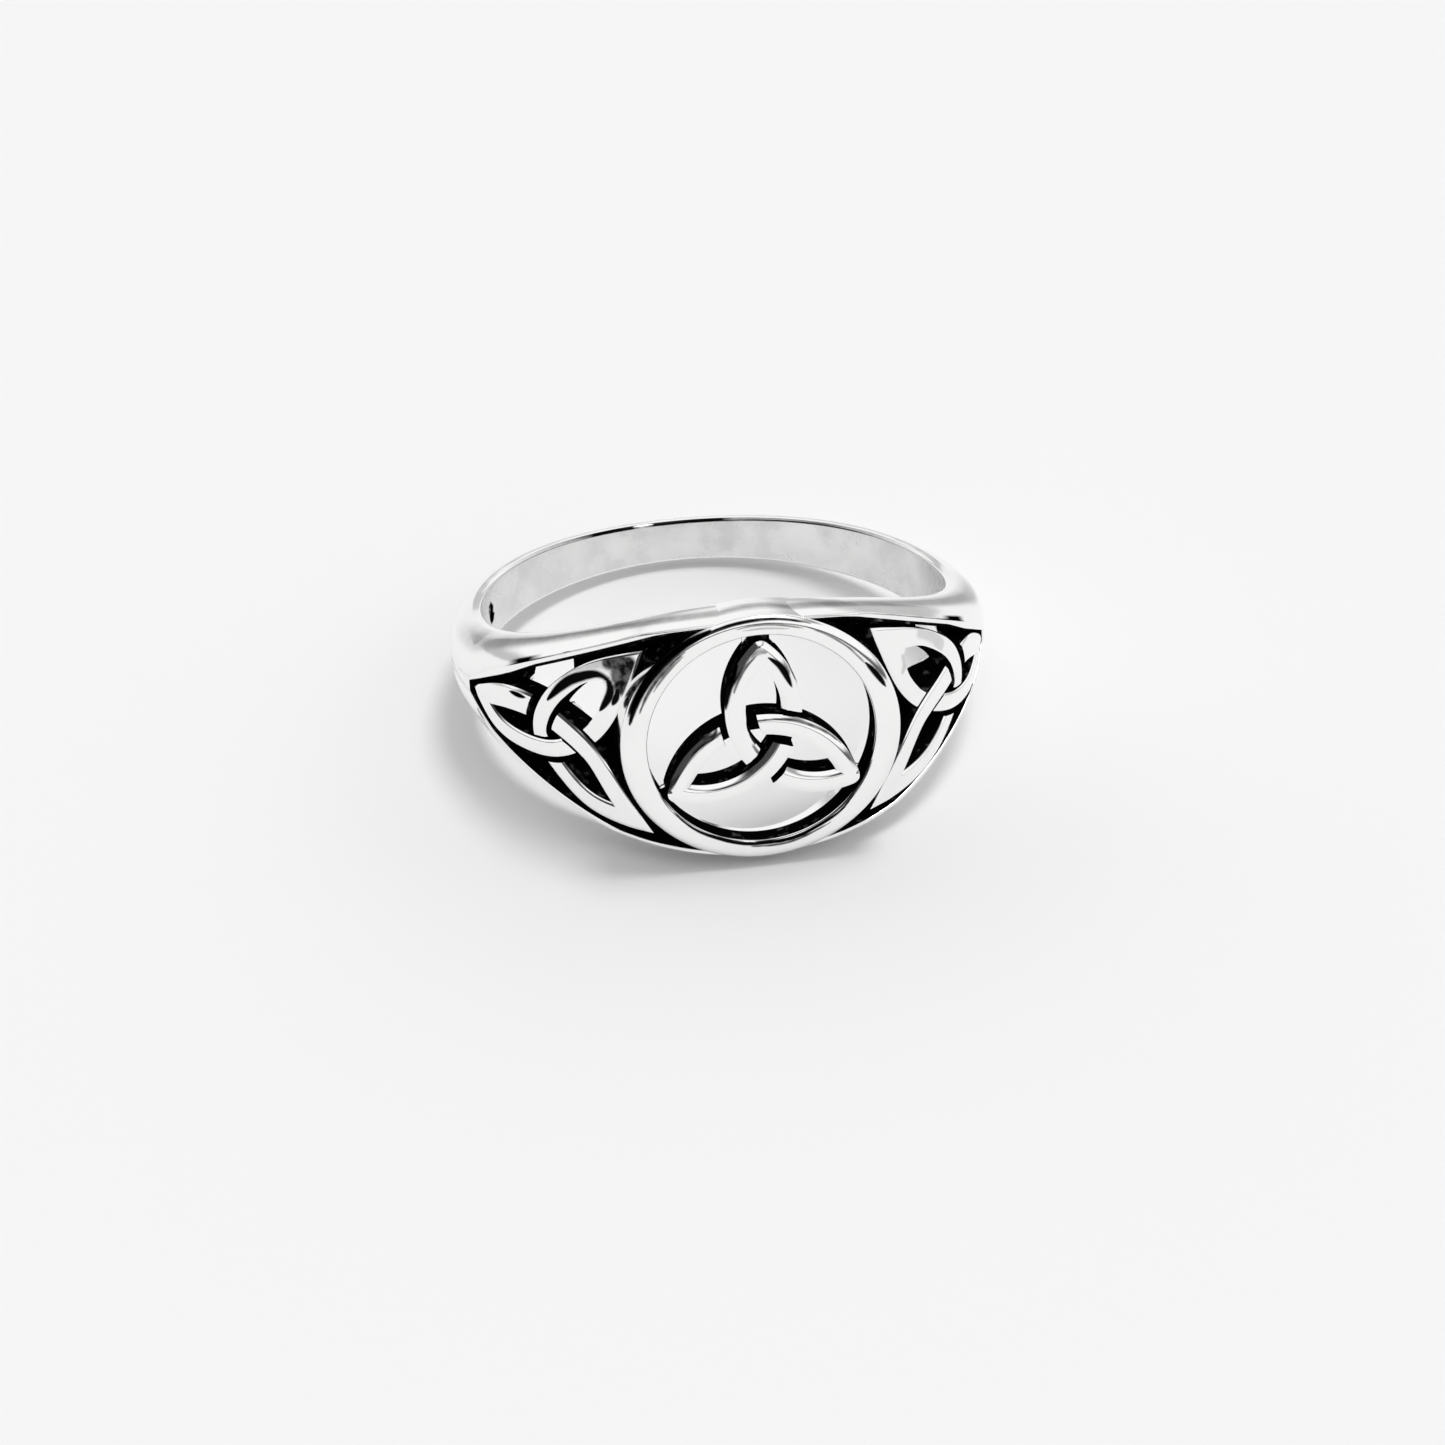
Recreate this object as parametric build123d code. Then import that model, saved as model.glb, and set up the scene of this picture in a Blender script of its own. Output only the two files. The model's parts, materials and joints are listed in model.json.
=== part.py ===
from build123d import *
import math
import os

# A one-piece cast silver finger ring with a round pierced bezel and two pierced shoulders.
# It is modelled round its finger hole first: X to the right, the bezel facing -Y and the
# finger along Z. At the end it is turned and set down the way it lies on a table.

os.makedirs("parts", exist_ok=True)

# Band
bore_radius = 9.0
front_half_width = 4.70
back_half_width = 0.90
shoulder_wall = 1.50
back_wall = 1.05
edge_wall = 0.35
ridge_width = 0.20
crown_share = 0.25

# Bezel: a flat disc whose rim frames the middle knot
bezel_rise = 1.77
bezel_half_width = 5.10
bezel_half_height = 4.79
rim_width = 0.95
rim_height = 0.72
rim_round = 0.25
knot_depth = 1.15
hollow_margin = 0.35
cut_clearance = 1.0

# Shoulder panels: a pierced triangle on each side, its point towards the back
panel_angle = 46.0
panel_tip_angle = 70.4
panel_length = 9.50
panel_tip_half_height = 0.22
panel_edge = 0.50
panel_bow = 0.14
panel_depth = 0.90
panel_hollow_start = 3.00
panel_hollow_floor = 0.35

# Knots
knot_strand_width = 0.74
panel_strand_width = 0.72
crossing_gap = 0.13
crossing_depth = 0.55
bridge_radius = 0.75
bridge_sink = 0.50
corner_reach = 0.70
tip_share = 1.60

# Band sections: angle from the bezel in degrees, share of the way from the back's half
# width to the front's, share of the way from the back's wall to the shoulder's wall
BAND_SECTIONS = [
    (0, 1.000, 1.45),
    (15, 0.945, 1.50),
    (30, 0.794, 1.35),
    (45, 0.592, 1.05),
    (60, 0.393, 1.00),
    (75, 0.236, 1.00),
    (90, 0.138, 0.55),
    (105, 0.087, 0.15),
    (120, 0.063, 0.00),
    (135, 0.045, 0.00),
    (150, 0.025, 0.00),
    (165, 0.007, 0.00),
    (180, 0.000, 0.00),
]

# Middle knot, one row for each arc: direction of its centre in degrees, then the distance
# of its centre and its radius as shares of the window's half width
KNOT_ARCS = [
    (28.3, 0.594, 0.749),
    (-89.4, 0.655, 0.790),
    (151.3, 0.547, 0.747),
]

# Shoulder knot, one list of points for each strand: distance from the panel's tip as a
# share of the panel's length, height as a share of the panel's half height
PANEL_STRANDS = [
    [(0.106, 0.000), (0.259, 0.114), (0.417, 0.114), (0.543, 0.029), (0.680, -0.179),
     (0.780, -0.500), (0.845, -0.774)],
    [(0.106, 0.000), (0.206, -0.190), (0.354, -0.262), (0.512, -0.236), (0.627, -0.119),
     (0.733, 0.100), (0.793, 0.370), (0.851, 0.726)],
    [(0.851, 0.726), (0.690, 0.610), (0.548, 0.405), (0.459, 0.119), (0.443, -0.143),
     (0.522, -0.381), (0.669, -0.630), (0.845, -0.774)],
]

# In each knot a strand passes over the next one in its list, and the last over the first
bezel_top = bore_radius + bezel_rise
shoulder_radius = bore_radius + shoulder_wall
window_half_width = bezel_half_width - rim_width
window_half_height = bezel_half_height - rim_height
panel_half_height = front_half_width - panel_edge
panel_tip = shoulder_radius * math.sin(math.radians(panel_angle - panel_tip_angle))
above = bezel_top + cut_clearance
inside = bore_radius * 0.7

bezel_plane = Plane(origin=(0, 0, 0), x_dir=(1, 0, 0), z_dir=(0, -1, 0))
turn = math.radians(panel_angle)
panel_plane = Plane(
    origin=(0, 0, 0),
    x_dir=(math.cos(turn), -math.sin(turn), 0),
    z_dir=(-math.sin(turn), -math.cos(turn), 0),
)


def side_line(path, shift):
    """The line that runs beside a flat path at a fixed distance."""
    count = 3 if path.geom_type == GeomType.CIRCLE else 13
    points = []
    for i in range(count):
        share = i / (count - 1)
        along = path % share
        points.append(path @ share + Vector(-along.Y, along.X) * shift)
    return ThreePointArc(*points) if count == 3 else Spline(*points)


def ribbon(path, width):
    """The flat outline of a strand of one width along a path."""
    left = side_line(path, width / 2)
    right = side_line(path, -width / 2)
    return make_face([left, Line(left @ 1, right @ 1), right, Line(right @ 0, left @ 0)])


def prism(plane, outline, low, high):
    """A flat outline raised from one height above a plane to another."""
    return extrude(plane.offset(low) * outline, amount=high - low)


def strand_prisms(plane, paths, width, low, high):
    """A knot's strands, with a round tip where two of them end."""
    solids = [prism(plane, ribbon(path, width), low, high) for path in paths]
    for path in paths:
        solids.append(prism(plane, Location(path @ 0) * Circle(width / 2), low, high))
        solids.append(prism(plane, Location(path @ 1) * Circle(width / 2), low, high))
    return solids


def crossing_slots(plane, paths, width, low, high):
    """The slots that part each strand from the one it crosses over, clear of the tips."""
    slots = []
    for over, under in zip(paths, paths[1:] + paths[:1]):
        slot = prism(plane, ribbon(over, width + 2 * crossing_gap), low, high)
        slot -= prism(plane, ribbon(over, width), low, high)
        slot &= prism(plane, ribbon(under, width + crossing_gap / 4), low, high)
        for tip in (over @ 0, over @ 1):
            slot -= prism(plane, Location(tip) * Circle(tip_share * width), low, high)
        slots.append(slot)
    return slots


def tip_points(paths):
    """Where the strands of a knot end, each place once."""
    points = []
    for path in paths:
        for point in (path @ 0, path @ 1):
            if all((point - other).length > crossing_gap for other in points):
                points.append(point)
    return points


def pointed_corner(paths, tip, width):
    """The corner that brings two strands to a point past the tip where they end."""
    away = [path % 0 for path in paths if (path @ 0 - tip).length < crossing_gap]
    away += [-(path % 1) for path in paths if (path @ 1 - tip).length < crossing_gap]
    inward = (away[0] + away[1]).normalized()
    corner = [tip - inward * corner_reach]
    for along in away:
        side = Vector(-along.Y, along.X)
        corner.append(tip + side * math.copysign(width / 2, -side.dot(inward)))
    return make_face(Polyline(tip, corner[1], corner[0], corner[2], close=True))


def bore(radius):
    """A round bar along the finger's axis, longer than the ring is wide."""
    return Cylinder(radius, 4 * front_half_width)


def border_height(along):
    """Half height of a shoulder panel at a distance from its tip."""
    share = along / panel_length
    straight = panel_tip_half_height + (panel_half_height - panel_tip_half_height) * share
    return straight + 4 * panel_bow * share * (1 - share)


def band_section(angle, width_share, wall_share):
    """The band's outline at one angle from the bezel, on the left side."""
    half = back_half_width + (front_half_width - back_half_width) * width_share
    outer = bore_radius + back_wall + (shoulder_wall - back_wall) * wall_share
    along = outer * math.sin(math.radians(panel_angle - angle)) - panel_tip
    crest = ridge_width + (border_height(along) if along > 0 else 0)
    crest = min(crest, half - edge_wall / 4)
    edge = bore_radius + edge_wall
    middle = Vector((edge + outer) / 2, (half + crest) / 2)
    outward = Vector(half - crest, outer - edge).normalized()
    bulge = middle + outward * crown_share * (half - crest)
    flank = ThreePointArc((edge, half), (bulge.X, bulge.Y), (outer, crest))
    under = ThreePointArc((edge, -half), (bulge.X, -bulge.Y), (outer, -crest))
    outline = make_face([
        Line((inside, half), (edge, half)), flank, Line((outer, crest), (outer, -crest)),
        under, Line((edge, -half), (inside, -half)), Line((inside, -half), (inside, half)),
    ])
    turned = math.radians(angle)
    radial = (-math.sin(turned), -math.cos(turned), 0)
    plane = Plane(origin=(0, 0, 0), x_dir=radial, z_dir=(-math.cos(turned), math.sin(turned), 0))
    return plane * outline


def make_left_band():
    """The left half of the band with its pierced panel."""
    before = [(-row[0], row[1], row[2]) for row in BAND_SECTIONS[1:2]]
    after = [(360 - row[0], row[1], row[2]) for row in BAND_SECTIONS[-2:-1]]
    rows = before + BAND_SECTIONS + after
    band = loft([band_section(*row) for row in rows])
    band &= Location((-2 * bore_radius, 0, 0)) * Box(4 * bore_radius, 6 * bore_radius, 6 * bore_radius)
    return band - bore(bore_radius)


def panel_paths():
    """The centre lines of the shoulder knot's strands."""
    return [
        Spline(*[(panel_tip + x * panel_length, y * panel_half_height) for x, y in points])
        for points in PANEL_STRANDS
    ]


def knot_paths():
    """The centre lines of the middle knot's arcs, from tip to tip."""
    centres = []
    for angle, distance, radius in KNOT_ARCS:
        place = math.radians(angle)
        reach = distance * window_half_width
        centres.append((reach * math.cos(place), reach * math.sin(place), radius * window_half_width))

    def tip(one, other):
        """Where two of the circles meet on the far side from the knot's middle."""
        ax, ay, ar = centres[one]
        bx, by, br = centres[other]
        gap = math.hypot(bx - ax, by - ay)
        near = (ar**2 - br**2 + gap**2) / (2 * gap)
        off = math.sqrt(ar**2 - near**2)
        ux, uy = (bx - ax) / gap, (by - ay) / gap
        spots = [(ax + near * ux - side * off * uy, ay + near * uy + side * off * ux) for side in (1, -1)]
        return max(spots, key=lambda spot: math.hypot(*spot))

    paths = []
    for i, (x, y, radius) in enumerate(centres):
        first = tip(i, (i + 2) % 3)
        last = tip(i, (i + 1) % 3)
        middle = math.atan2(-y, -x)
        through = (x + radius * math.cos(middle), y + radius * math.sin(middle))
        paths.append(ThreePointArc(first, through, last))
    return paths


def pierce_panel(band):
    """Cut the left panel open round its knot, and part the strands where they cross."""
    border = []
    for side in (1, -1):
        shares = (0, 0.5, 1)
        border.append([(panel_tip + s * panel_length, side * border_height(s * panel_length)) for s in shares])
    upper, lower = (ThreePointArc(*points) for points in border)
    opening = make_face([upper, Line(upper @ 1, lower @ 1), lower, Line(lower @ 0, upper @ 0)])
    low, high = inside, above
    paths = panel_paths()
    cutter = prism(panel_plane, opening, low, high)
    start = panel_tip + panel_hollow_start
    upper_part = Location((start, panel_hollow_floor)) * Rectangle(
        panel_length, panel_half_height, align=(Align.MIN, Align.MIN)
    )
    hollow = prism(panel_plane, opening & upper_part, low, high)
    hollow &= bore(shoulder_radius - panel_depth)
    knot = strand_prisms(panel_plane, paths, panel_strand_width, low, high)
    sunk = bore(shoulder_radius - bridge_sink)
    for point in tip_points(paths):
        knot.append(prism(panel_plane, Location(point) * Circle(bridge_radius), low, high) & sunk)
        if point.X > start:
            corner = pointed_corner(paths, point, panel_strand_width)
            knot.append(prism(panel_plane, corner, low, high))
    for solid in knot:
        cutter -= solid
    for slot in crossing_slots(panel_plane, paths, panel_strand_width, low, high):
        band -= slot - bore(shoulder_radius - crossing_depth)
    return band - cutter - hollow


def make_bezel():
    """The bezel's disc, its window and the middle knot."""
    disc = prism(bezel_plane, Ellipse(bezel_half_width, bezel_half_height), inside, bezel_top)
    top_edges = disc.edges().sort_by(Axis.Y)[0]
    disc = fillet([top_edges], rim_round)
    disc -= bore(bore_radius)
    back = bezel_top - knot_depth
    hollow = Ellipse(window_half_width + hollow_margin, window_half_height + hollow_margin)
    disc -= prism(bezel_plane, hollow, inside, back)
    window = Ellipse(window_half_width, window_half_height)
    paths = knot_paths()
    opening = prism(bezel_plane, window, back, above)
    for solid in strand_prisms(bezel_plane, paths, knot_strand_width, back, bezel_top):
        opening -= solid
    for point in tip_points(paths):
        opening -= prism(bezel_plane, Location(point) * Circle(bridge_radius), back, bezel_top - bridge_sink)
    disc -= opening
    floor = bezel_top - crossing_depth
    for slot in crossing_slots(bezel_plane, paths, knot_strand_width, floor, above):
        disc -= slot
    return disc


left = pierce_panel(make_left_band())
band = left + mirror(left, about=Plane.YZ)
seat = Ellipse(bezel_half_width - rim_width / 2, bezel_half_height - rim_height / 2)
band -= prism(bezel_plane, seat, inside, above)
ring = band + make_bezel()

# Set it down: the bezel's lower edge and the back of the band both touch the table
rim_y, rim_z = bezel_top - rim_round, bezel_half_height - rim_round
back_y, back_z = bore_radius + edge_wall, back_half_width
reach = math.hypot(rim_y + back_y, rim_z - back_z)
lean = math.atan2(rim_z - back_z, rim_y + back_y) + math.asin(rim_round / reach)
ring = ring.rotate(Axis.X, -math.degrees(lean))
box = ring.bounding_box()
ring = Location((-box.center().X, -box.center().Y, -box.min.Z)) * ring
ring.label = "knot_ring"

export_step(ring, "parts/knot_ring.step")
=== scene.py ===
import json
import math

import bmesh
import bpy
import numpy as np
from mathutils import Matrix, Vector


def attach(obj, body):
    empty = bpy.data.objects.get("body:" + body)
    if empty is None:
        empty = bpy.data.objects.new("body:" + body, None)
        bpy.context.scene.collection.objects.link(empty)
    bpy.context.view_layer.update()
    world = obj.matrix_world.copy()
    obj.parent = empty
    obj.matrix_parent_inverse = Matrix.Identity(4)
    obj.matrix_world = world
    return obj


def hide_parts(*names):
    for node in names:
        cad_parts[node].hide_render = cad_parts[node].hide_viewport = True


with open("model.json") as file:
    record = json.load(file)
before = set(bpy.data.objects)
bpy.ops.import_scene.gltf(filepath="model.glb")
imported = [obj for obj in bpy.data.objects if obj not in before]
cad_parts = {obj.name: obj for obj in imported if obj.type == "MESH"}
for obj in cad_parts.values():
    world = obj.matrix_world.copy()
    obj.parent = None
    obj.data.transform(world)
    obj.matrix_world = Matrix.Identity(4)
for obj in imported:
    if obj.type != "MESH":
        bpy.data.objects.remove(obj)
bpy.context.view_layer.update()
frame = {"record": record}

# Camera: in front of the ring, a little to the left and well above it, close enough for the
# bezel to look larger than the back of the band.
camera_azimuth = -9.64
camera_elevation = 36.30
camera_distance = 0.110
camera_target = Vector((-0.00005, -0.00154, -0.00014))
camera_lens = 69.92


def way_to(azimuth, elevation):
    """The way to a place round the ring, in degrees from the front to the right and upwards."""
    turned = math.radians(azimuth)
    raised = math.radians(elevation)
    return Vector((
        math.sin(turned) * math.cos(raised), -math.cos(turned) * math.cos(raised), math.sin(raised),
    ))


def add_object(name, data):
    """A new object in the scene."""
    made = bpy.data.objects.new(name, data)
    bpy.context.scene.collection.objects.link(made)
    return made


camera_way = way_to(camera_azimuth, camera_elevation)
camera_data = bpy.data.cameras.new("camera")
camera_data.lens = camera_lens
camera_data.clip_start = 0.002
camera = add_object("camera", camera_data)
camera.location = camera_target + camera_way * camera_distance
camera.rotation_euler = (-camera_way).to_track_quat("-Z", "Y").to_euler()
bpy.context.scene.camera = camera


# Studio: a bright white room. A dim line along the horizon in front, one high up all round, a
# dark patch on the left and the dark camera draw the lines that show the polished edges. One
# soft light from above.
room_level = 0.95

# Height in the room, from -1 straight down to 1 straight up, and the level there
horizon_line = [(-0.02, 0.95), (0.01, 0.12), (0.12, 0.12), (0.20, 1.0)]
high_line = [(0.70, 1.0), (0.75, 0.35), (0.80, 0.35), (0.86, 1.0)]
back_fade = 0.5
back_fade_reach = 0.35

# Azimuth, elevation, radius and soft edge in degrees, and the level
dark_patches = [(-9.6, 36.3, 12, 8, 0.05), (-62, 22, 26, 16, 0.06)]
light_from = Vector((0.24, 0.16, 0.95))
light_spread = math.radians(20)
light_power = 1.22


def connect(tree, sockets, values):
    """Give sockets their values: each a plain value, another socket, or a node for its output."""
    for key, value in values.items():
        if isinstance(value, bpy.types.Node):
            value = next(output for output in value.outputs if output.enabled)
        if isinstance(value, bpy.types.NodeSocket):
            tree.links.new(value, sockets[key])
        else:
            sockets[key].default_value = value


def add_node(tree, kind, values=None, **settings):
    """A new node of a tree, with its inputs by name or number and its other settings by name."""
    node = tree.nodes.new(kind)
    for key, setting in settings.items():
        setattr(node, key, setting)
    connect(tree, node.inputs, values or {})
    return node


def rescale(tree, value, low, high, first=0.0, last=1.0, **settings):
    """A value brought from one range to another, and kept inside it."""
    ends = {"From Min": low, "From Max": high, "To Min": first, "To Max": last}
    return add_node(tree, "ShaderNodeMapRange", {"Value": value, **ends}, **settings)


def blend(tree, share, one, other):
    """A colour a share of the way from one colour to another."""
    return add_node(tree, "ShaderNodeMix", {0: share, 6: one, 7: other}, data_type="RGBA")


def grey(level):
    """A grey of a level between 0 and 1."""
    return (level, level, level, 1.0)


world = bpy.data.worlds.new("studio")
world.use_nodes = True
bpy.context.scene.world = world
room = world.node_tree
way_out = add_node(room, "ShaderNodeTexCoord").outputs["Generated"]
room_axes = add_node(room, "ShaderNodeSeparateXYZ", {0: way_out}).outputs
line_height = rescale(room, room_axes["Z"], -1.0, 1.0)
line_shades = []
for line in (horizon_line, high_line):
    shade = add_node(room, "ShaderNodeValToRGB", {"Fac": line_height})
    while len(shade.color_ramp.elements) < len(line):
        shade.color_ramp.elements.new(0.5)
    for element, (height, level) in zip(shade.color_ramp.elements, line):
        element.position = (height + 1) / 2
        element.color = grey(level)
    line_shades.append(shade)
# The horizon's line fades away towards the back
fade = rescale(room, room_axes["Y"], -back_fade_reach, back_fade_reach, 0.0, back_fade)
lit = blend(room, fade, line_shades[0], grey(room_level))
lit = add_node(room, "ShaderNodeVectorMath", {0: lit, 1: line_shades[1]}, operation="MULTIPLY")
for azimuth, elevation, radius, edge, level in dark_patches:
    patch_way = way_to(azimuth, elevation)
    nearness = add_node(room, "ShaderNodeVectorMath", {0: way_out, 1: patch_way}, operation="DOT_PRODUCT")
    outside = math.cos(math.radians(radius + edge))
    inside = math.cos(math.radians(radius))
    patch = rescale(room, nearness, outside, inside, 1.0, level, interpolation_type="SMOOTHSTEP")
    lit = add_node(room, "ShaderNodeVectorMath", {0: lit, 1: patch}, operation="MULTIPLY")
connect(room, room.nodes["Background"].inputs, {"Color": lit})

light_data = bpy.data.lights.new("soft_light", "SUN")
light_data.angle = light_spread
light_data.energy = light_power
light = add_object("soft_light", light_data)
light.rotation_euler = (-light_from).to_track_quat("-Z", "Y").to_euler()
bpy.context.scene.view_settings.view_transform = "Standard"


# Floor: the table top that the ring lies on, loose. It is a flat sheet of smooth matt white,
# wide enough to fill the view.
floor_half = 1.5
floor_corners = [(x * floor_half, y * floor_half, 0) for x, y in ((-1, -1), (1, -1), (1, 1), (-1, 1))]

floor_material = bpy.data.materials.new("white_table")
floor_material.use_nodes = True
floor_tree = floor_material.node_tree
floor_finish = {"Base Color": grey(0.84), "Roughness": 0.9, "Specular IOR Level": 0.1}
connect(floor_tree, floor_tree.nodes["Principled BSDF"].inputs, floor_finish)
floor_mesh = bpy.data.meshes.new("table")
floor_mesh.from_pydata(floor_corners, [], [(0, 1, 2, 3)])
floor_mesh.materials.append(floor_material)
floor = add_object("table", floor_mesh)


# Band: narrow and rounded at the back, it widens into two rails, the borders of the pierced
# shoulders. The whole ring is one casting of sterling silver, polished by hand on its tops,
# flanks and finger hole, and blackened on the walls of its gaps so that the knots stand out.
hole = frame["record"]["mounts"][0]
bore_radius = hole["dims"]["r_mm"]
finger = Vector(hole["axis"])
lean = math.atan2(finger.y, finger.z)

# Each piece is made in mm round an upright finger, with the bezel in front, then laid down
laid_down = (
    Matrix.Translation(Vector(hole["pos_m"]))
    @ Matrix.Rotation(-lean, 4, "X")
    @ Matrix.Scale(0.001, 4)
)
sharp_edge = math.radians(32)
merge_reach = 0.0001

silver_colour = (0.97, 0.97, 0.965, 1.0)
hazy_colour = (0.93, 0.93, 0.925, 1.0)
satin_colour = (0.92, 0.92, 0.915, 1.0)
clouded_colour = grey(0.66)
# Near black, for tarnish and for painted shade
tarnish_and_shade_colour = grey(0.004)
blackened_colour = grey(0.003)
worn_colour = grey(0.12)
no_tint = grey(1.0)
spot_angle = math.radians(110.0)
spot_height = 0.05
spot_size = 0.36


def new_silver(name):
    """A new finish of the silver: its material, node tree, shader's inputs and places in mm."""
    finish = bpy.data.materials.new(name)
    finish.use_nodes = True
    tree = finish.node_tree
    place = add_node(tree, "ShaderNodeTexCoord").outputs["Object"]
    in_mm = add_node(tree, "ShaderNodeMapping", {"Vector": place, "Scale": (1000, 1000, 1000)})
    return finish, tree, tree.nodes["Principled BSDF"].inputs, in_mm


def noise(tree, place, scale, detail):
    """Soft noise, with about this many waves to a mm."""
    return add_node(tree, "ShaderNodeTexNoise", {"Vector": place, "Scale": scale, "Detail": detail})


# Polished silver is a little hazy, scratched and rippled. Tarnish is left in its corners and along
# some edges, where the polishing wheel doesn't reach. The same darkening also carries painted shade
# and painted dark reflections.
polished, tree, shader, in_mm = new_silver("polished_silver")
haze = noise(tree, in_mm, 0.9, 3.0)
across_scratches = add_node(tree, "ShaderNodeMapping", {"Vector": in_mm, "Scale": (3.0, 3.0, 26.0)})
scratches = add_node(tree, "ShaderNodeBump", {
    "Height": noise(tree, across_scratches, 1.0, 4.0), "Strength": 0.02, "Distance": 0.00003,
})
ripples = add_node(tree, "ShaderNodeBump", {
    "Height": noise(tree, in_mm, 0.55, 1.0), "Strength": 0.35, "Distance": 0.00006, "Normal": scratches,
})
tarnish_and_shade = add_node(tree, "ShaderNodeAttribute", attribute_name="tarnish_and_shade").outputs["Fac"]
uneven = rescale(tree, noise(tree, in_mm, 3.5, 4.0), 0.35, 0.6, 0.92, 1.06)
tarnish_and_shade_share = add_node(tree, "ShaderNodeMath", {0: tarnish_and_shade, 1: uneven}, operation="MULTIPLY", use_clamp=True)
clean = blend(tree, haze, silver_colour, hazy_colour)
connect(tree, shader, {
    "Metallic": 1.0,
    "Base Color": blend(tree, tarnish_and_shade_share, clean, tarnish_and_shade_colour),
    "Specular Tint": blend(tree, tarnish_and_shade_share, no_tint, tarnish_and_shade_colour),
    "Roughness": rescale(tree, haze, 0.35, 0.7, 0.07, 0.16),
    "Normal": ripples,
})

# Blackened silver is grainy, and worn grey in places
blackened, tree, shader, in_mm = new_silver("blackened_silver")
worn = rescale(tree, noise(tree, in_mm, 2.2, 5.0), 0.60, 0.74)
connect(tree, shader, {
    "Base Color": blend(tree, worn, blackened_colour, worn_colour),
    "Roughness": 0.42,
    "Specular IOR Level": 0.0,
    "Normal": add_node(tree, "ShaderNodeBump", {
        "Height": noise(tree, in_mm, 14.0, 3.0), "Strength": 0.4, "Distance": 0.00003,
    }),
})

# Satin silver lines the finger hole, clouded by wear, with one small spot of painted shade at the far left
satin, tree, shader, in_mm = new_silver("satin_silver")
clouds = noise(tree, in_mm, 0.8, 6.0)
clean = blend(tree, clouds, satin_colour, clouded_colour)
spot = Vector((-bore_radius * math.sin(spot_angle), -bore_radius * math.cos(spot_angle), spot_height))
spot_in_mm = laid_down @ spot * 1000
from_spot = add_node(tree, "ShaderNodeVectorMath", {0: in_mm, 1: spot_in_mm}, operation="DISTANCE")
ragged = add_node(
    tree, "ShaderNodeMath", {0: noise(tree, in_mm, 2.6, 3.0), 1: 2.5 * spot_size, 2: from_spot},
    operation="MULTIPLY_ADD",
)
in_shade_spot = rescale(tree, ragged, 2.1 * spot_size, 2.4 * spot_size, 1.0, 0.0)
connect(tree, shader, {
    "Metallic": 1.0,
    "Base Color": blend(tree, in_shade_spot, clean, tarnish_and_shade_colour),
    "Specular Tint": blend(tree, in_shade_spot, no_tint, tarnish_and_shade_colour),
    "Roughness": rescale(tree, clouds, 0.35, 0.65, 0.2, 0.34),
})


def finish_piece(name, mesh):
    """Lay a finished piece of the casting down on the table, on the ring's one body."""
    mesh.transform(laid_down)
    mesh.polygons.foreach_set("use_smooth", [True] * len(mesh.polygons))
    mesh.set_sharp_from_angle(angle=sharp_edge)
    mesh.update()
    piece = add_object(name, mesh)
    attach(piece, "root")
    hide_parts("knot_ring")


def cast_piece(name, points, faces, slots, finishes, tarnish_and_shade):
    """A finished piece of points and faces in mm. Each face has the number of its finish."""
    mesh = bpy.data.meshes.new(name)
    mesh.from_pydata(points, [], faces)
    mesh.attributes.new("tarnish_and_shade", "FLOAT", "POINT").data.foreach_set("value", tarnish_and_shade)
    for finish in finishes:
        mesh.materials.append(finish)
    mesh.polygons.foreach_set("material_index", slots)
    work = bmesh.new()
    work.from_mesh(mesh)
    bmesh.ops.remove_doubles(work, verts=work.verts, dist=merge_reach)
    bmesh.ops.recalc_face_normals(work, faces=work.faces)
    work.to_mesh(mesh)
    work.free()
    finish_piece(name, mesh)


front_half_width = 4.70
back_half_width = 0.90
shoulder_radius = bore_radius + 1.50
back_radius = bore_radius + 1.05
edge_wall = 0.35
crown_share = 0.25
bore_edge_round = 0.13
side_edge_round = 0.10

# Angle from the bezel in degrees, share of the way from the back's half width to the front's,
# share of the way from the back's radius to the shoulder's
BAND_SECTIONS = [
    (0, 1.000, 1.45), (15, 0.945, 1.50), (30, 0.794, 1.35), (45, 0.592, 1.05), (60, 0.393, 1.00),
    (75, 0.236, 1.00), (90, 0.138, 0.55), (105, 0.087, 0.15), (120, 0.063, 0.00), (135, 0.045, 0.00),
    (150, 0.025, 0.00), (165, 0.007, 0.00), (180, 0.000, 0.00),
]

# Gap of a shoulder, drawn flat as it is seen from the angle that the shoulder faces
panel_angle = 46.0
panel_tip_angle = 70.4
panel_length = 9.50
panel_tip_half_height = 0.22
panel_half_height = front_half_width - 0.50
panel_bow = 0.14
panel_tip = shoulder_radius * math.sin(math.radians(panel_angle - panel_tip_angle))
closed_share = 0.35
least_rail = 0.22
lower_border_drop = 0.30
lowered_from = 1.5

# Ridge along the gap, which fades away behind the gap's tip, its black inner side, and the
# groove beside it
lower_ridge_width = 0.17
upper_ridge_width = 0.28
least_ridge = 0.10
ridge_fade = 2.0
least_shown = 0.05
ridge_round = 0.03
ridge_edge_round = 0.02
ridge_black = 0.13
ridge_black_from = 2.6
ridge_black_growth = 1.6
ridge_black_share = 0.6
least_black = 0.02
groove_depth = 0.05
groove_width = 0.02

# Tarnish in the grooves beside the upper ridge: distance from the gap's tip in mm, strength
GROOVE_TARNISH = [(2.6, 0.0), (3.1, 1.0), (4.4, 1.0), (5.2, 0.5), (8.2, 0.5), (9.0, 0.2)]
WIDE_GROOVE_TARNISH = [(2.7, 0.0), (3.2, 1.0), (3.9, 1.0), (4.5, 0.0)]
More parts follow.
